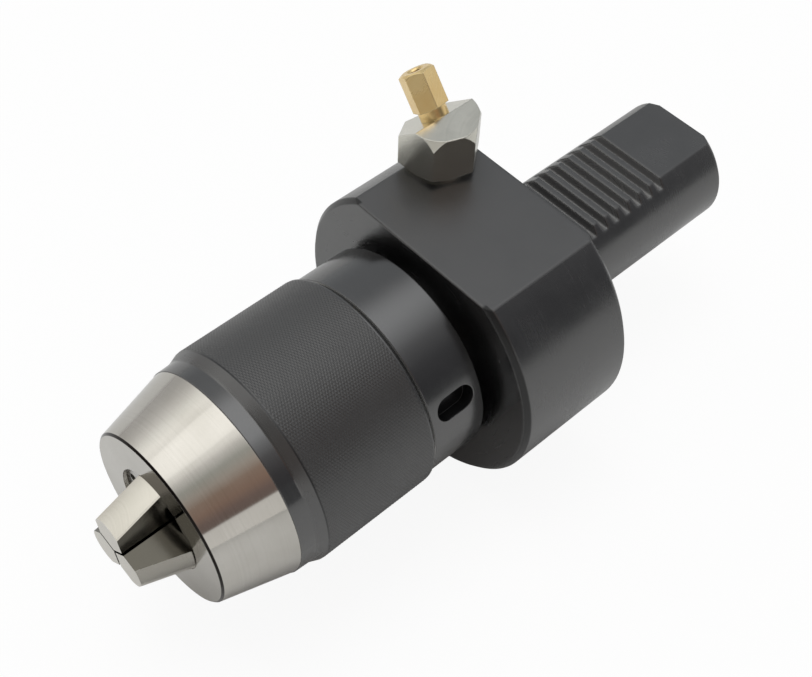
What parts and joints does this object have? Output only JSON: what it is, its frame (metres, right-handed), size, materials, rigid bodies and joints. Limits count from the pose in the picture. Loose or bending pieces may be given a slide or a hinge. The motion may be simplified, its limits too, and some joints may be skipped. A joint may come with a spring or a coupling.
{
  "type": "turret drill chuck holder",
  "caption": "Round-shank turret tool holder with toothed flat, round flange, keyless drill chuck and a swivelling hexagonal coolant nozzle with an angled brass jet.",
  "frame": {"origin": "centre of the flange's seating face, on the spindle axis", "axes": "+X along the spindle axis towards the jaw tips, +Z normal of the flange's flat and of the shank's toothed flat, +Y completes the right-handed frame"},
  "size_m": [0.1628, 0.068, 0.0819],
  "materials": {
    "blackened_steel": "satin black oxide",
    "blackened_ring": "polished black oxide",
    "blackened_sleeve": "black oxide, fine diamond knurl",
    "blackened_screw": "black oxide",
    "blackened_nut": "black oxide",
    "felt": "pressed felt",
    "bearing_steel": "hardened and ground",
    "ball_steel": "polished",
    "cage_brass": "machined",
    "ground_steel": "turned and ground bright",
    "guide_steel": "ground bright",
    "spring_steel": "blued spring steel",
    "screw_steel": "turned",
    "jaw_steel": "hardened and ground",
    "stainless": "turned stainless steel",
    "jet_brass": "turned brass",
    "seal_rubber": "smooth nitrile rubber"
  },
  "bodies": {
    "holder": {"holder_body": "blackened_steel", "rear_ring": "blackened_ring", "ring_set_screw": "blackened_screw", "wiper_ring": "felt", "front_race": "bearing_steel", "thrust_nut": "blackened_nut", "shank_seal": "seal_rubber", "inlet_seal": "seal_rubber"},
    "grip_sleeve": {"sleeve": "blackened_sleeve", "rear_race": "bearing_steel", "nose_hood": "ground_steel", "jaw_guide": "guide_steel", "guide_pins": "bearing_steel", "guide_clip": "spring_steel"},
    "ball_row": {"bearing_cage": "cage_brass", "bearing_balls": "ball_steel"},
    "screw": {"lead_screw": "screw_steel"},
    "jaw_a": {"jaw_1": "jaw_steel"},
    "jaw_b": {"jaw_2": "jaw_steel"},
    "jaw_c": {"jaw_3": "jaw_steel"},
    "nozzle": {"nozzle_body": "stainless", "nozzle_jet": "jet_brass", "nozzle_seal": "seal_rubber", "nozzle_clip": "spring_steel"}
  },
  "joints": [
    {"name": "sleeve_turn", "type": "hinge", "parent": "holder", "child": "grip_sleeve", "pos_m": [0.06, 0, 0], "axis": [1, 0, 0], "range_deg": [0, 2412]},
    {"name": "ball_row_turn", "type": "hinge", "parent": "holder", "child": "ball_row", "pos_m": [0.05265, 0, 0], "axis": [1, 0, 0], "range_deg": [0, 1207]},
    {"name": "screw_slide", "type": "slide", "parent": "grip_sleeve", "child": "screw", "axis": [-1, 0, 0], "range_m": [0, 0.0201]},
    {"name": "jaw_1_slide", "type": "slide", "parent": "grip_sleeve", "child": "jaw_a", "axis": [-0.9563, -0.0608, 0.286], "range_m": [0, 0.02102]},
    {"name": "jaw_2_slide", "type": "slide", "parent": "grip_sleeve", "child": "jaw_b", "axis": [-0.9563, 0.2781, -0.0903], "range_m": [0, 0.02102]},
    {"name": "jaw_3_slide", "type": "slide", "parent": "grip_sleeve", "child": "jaw_c", "axis": [-0.9563, -0.2173, -0.1956], "range_m": [0, 0.02102]},
    {"name": "nozzle_swivel", "type": "hinge", "parent": "holder", "child": "nozzle", "pos_m": [0.0079, -0.01775, 0.0275], "axis": [0, 0, 1], "continuous": true}
  ],
  "couplings": [
    {"joint": "ball_row_turn", "follows": "sleeve_turn", "ratio": 0.5},
    {"joint": "screw_slide", "follows": "sleeve_turn", "m_per_rad": 0.00047746},
    {"joint": "jaw_1_slide", "follows": "sleeve_turn", "m_per_rad": 0.00049928},
    {"joint": "jaw_2_slide", "follows": "sleeve_turn", "m_per_rad": 0.00049928},
    {"joint": "jaw_3_slide", "follows": "sleeve_turn", "m_per_rad": 0.00049928}
  ]
}
